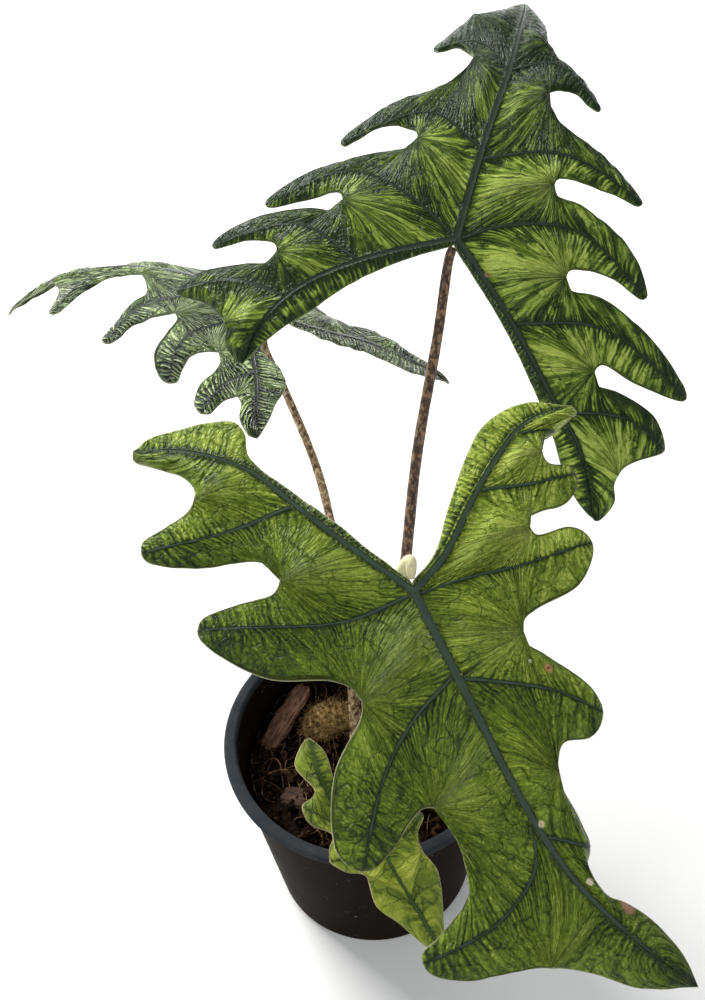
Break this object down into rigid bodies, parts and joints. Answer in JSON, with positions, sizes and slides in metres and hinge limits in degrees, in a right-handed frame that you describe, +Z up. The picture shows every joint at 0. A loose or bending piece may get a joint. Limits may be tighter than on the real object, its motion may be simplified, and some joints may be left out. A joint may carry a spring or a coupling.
{
  "type": "potted alocasia",
  "caption": "Potted aroid with deeply lobed, arrow-shaped leaves on slender mottled stalks, in a round black nursery pot of bark mix",
  "frame": {"origin": "centre of the pot's underside, on the surface that the pot stands on", "axes": "+Z up; +Y points away from the viewer of the picture, so the front leaf hangs over the rim towards -Y; +X to the viewer's right"},
  "size_m": [0.292, 0.3816, 0.3517],
  "materials": {
    "pot_plastic": "satin black nursery plastic, blue-grey and scuffed on the rim",
    "potting_mix": "damp dark bark and coir mix",
    "moss": "dry brown-green sphagnum tuft",
    "bark": "rough split bark",
    "corm": "fibrous short stem",
    "mottled_stalk": "brown with tan mottling, low sheen",
    "young_stalk": "pale green-brown, low sheen",
    "mature_leaf": "leathery dark green veins, bright yellow-green streaks between",
    "fresh_leaf": "leathery mid green with blue-green veins and a fine net",
    "dark_leaf": "leathery deep green with a silvery sheen",
    "young_leaf": "soft pale yellow-green with a thin pinkish edge"
  },
  "bodies": {
    "root": {"pot": "pot_plastic", "potting_mix": "potting_mix", "moss": "moss", "bark_long": "bark", "bark_flat": "bark", "bark_back": "bark", "bark_right": "bark", "corm": "corm", "top_leaf_stalk": "mottled_stalk", "front_leaf_stalk": "mottled_stalk", "side_leaf_stalk": "mottled_stalk", "young_leaf_stalk": "young_stalk", "top_leaf_blade": "mature_leaf", "front_leaf_blade": "fresh_leaf", "side_leaf_blade": "dark_leaf", "young_leaf_blade": "young_leaf"}
  },
  "joints": []
}
